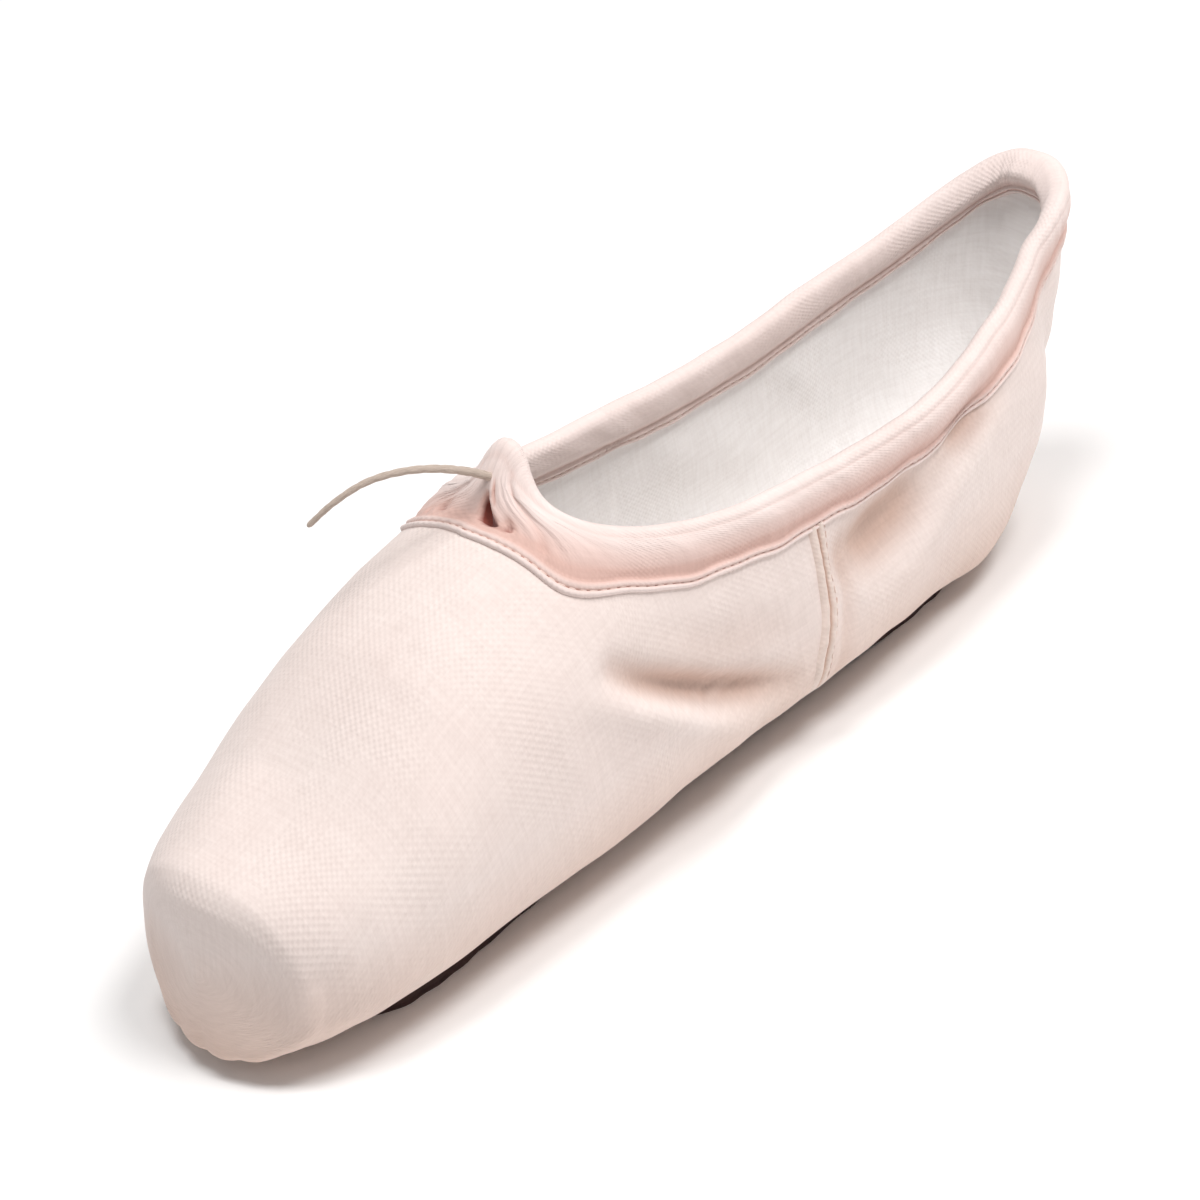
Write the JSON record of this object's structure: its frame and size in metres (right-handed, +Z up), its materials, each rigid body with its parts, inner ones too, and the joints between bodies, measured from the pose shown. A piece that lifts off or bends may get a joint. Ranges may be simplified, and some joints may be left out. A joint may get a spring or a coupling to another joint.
{
  "type": "pointe shoe",
  "caption": "Canvas pointe shoe with a stiff toe box and flat platform, gathered drawstring collar, side seams and a thin leather sole.",
  "frame": {"origin": "on the floor under the middle of the shoe's length and width", "axes": "+X towards the toe, +Y towards the shoe's own left side, +Z up"},
  "size_m": [0.2535, 0.069, 0.0851],
  "materials": {
    "canvas": "matt peach-pink cotton canvas with a plain weave",
    "binding": "matt pink cotton casing, gathered",
    "seam_tape": "lapped canvas seam, stitched",
    "sole_leather": "dark brown split leather",
    "sock_board": "off-white cotton sock on board",
    "cord": "grey-beige braided cotton cord"
  },
  "bodies": {
    "root": {"upper": "canvas", "collar_binding": "binding", "side_seam_left": "seam_tape", "side_seam_right": "seam_tape", "outsole": "sole_leather", "insole": "sock_board", "drawstring": "cord"}
  },
  "joints": []
}
